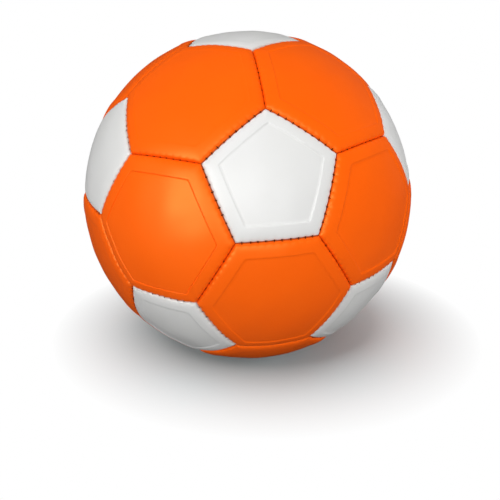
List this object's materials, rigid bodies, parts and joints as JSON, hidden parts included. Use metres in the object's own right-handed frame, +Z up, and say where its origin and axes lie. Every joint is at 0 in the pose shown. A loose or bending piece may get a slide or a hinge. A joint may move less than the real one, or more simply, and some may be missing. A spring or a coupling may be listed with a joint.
{
  "type": "playground ball",
  "caption": "Stitched round play ball of orange hexagon and white pentagon panels over an air-filled rubber bladder, with a needle valve.",
  "frame": {"origin": "centre of the ball", "axes": "+Y out along the valve axis, +Z up as the ball lies in the picture"},
  "size_m": [0.205, 0.2035, 0.205],
  "materials": {
    "orange_skin": "semi-gloss synthetic leather",
    "white_skin": "semi-gloss synthetic leather",
    "foam": "matt closed-cell foam",
    "lining": "woven cotton and polyester",
    "thread": "waxed polyester thread",
    "bladder_rubber": "matt butyl rubber",
    "valve_rubber": "satin rubber"
  },
  "bodies": {
    "ball": {"valve_hexagon_panel": "orange_skin", "hexagon_panel_01": "orange_skin", "hexagon_panel_02": "orange_skin", "hexagon_panel_03": "orange_skin", "hexagon_panel_04": "orange_skin", "hexagon_panel_05": "orange_skin", "hexagon_panel_06": "orange_skin", "hexagon_panel_07": "orange_skin", "hexagon_panel_08": "orange_skin", "hexagon_panel_09": "orange_skin", "hexagon_panel_10": "orange_skin", "hexagon_panel_11": "orange_skin", "hexagon_panel_12": "orange_skin", "hexagon_panel_13": "orange_skin", "hexagon_panel_14": "orange_skin", "hexagon_panel_15": "orange_skin", "hexagon_panel_16": "orange_skin", "hexagon_panel_17": "orange_skin", "hexagon_panel_18": "orange_skin", "hexagon_panel_19": "orange_skin", "pentagon_panel_01": "white_skin", "pentagon_panel_02": "white_skin", "pentagon_panel_03": "white_skin", "pentagon_panel_04": "white_skin", "pentagon_panel_05": "white_skin", "pentagon_panel_06": "white_skin", "pentagon_panel_07": "white_skin", "pentagon_panel_08": "white_skin", "pentagon_panel_09": "white_skin", "pentagon_panel_10": "white_skin", "pentagon_panel_11": "white_skin", "pentagon_panel_12": "white_skin", "hexagon_foam": "foam", "pentagon_foam": "foam", "hexagon_lining": "lining", "pentagon_lining": "lining", "hexagon_seam_thread": "thread", "pentagon_seam_thread": "thread", "bladder": "bladder_rubber", "valve_housing": "valve_rubber", "valve_patch": "lining"},
    "core": {"valve_core": "valve_rubber"}
  },
  "joints": [
    {"name": "valve_core_pull", "type": "slide", "parent": "ball", "child": "core", "axis": [0, 1, 0], "range_m": [0, 0.03]}
  ]
}
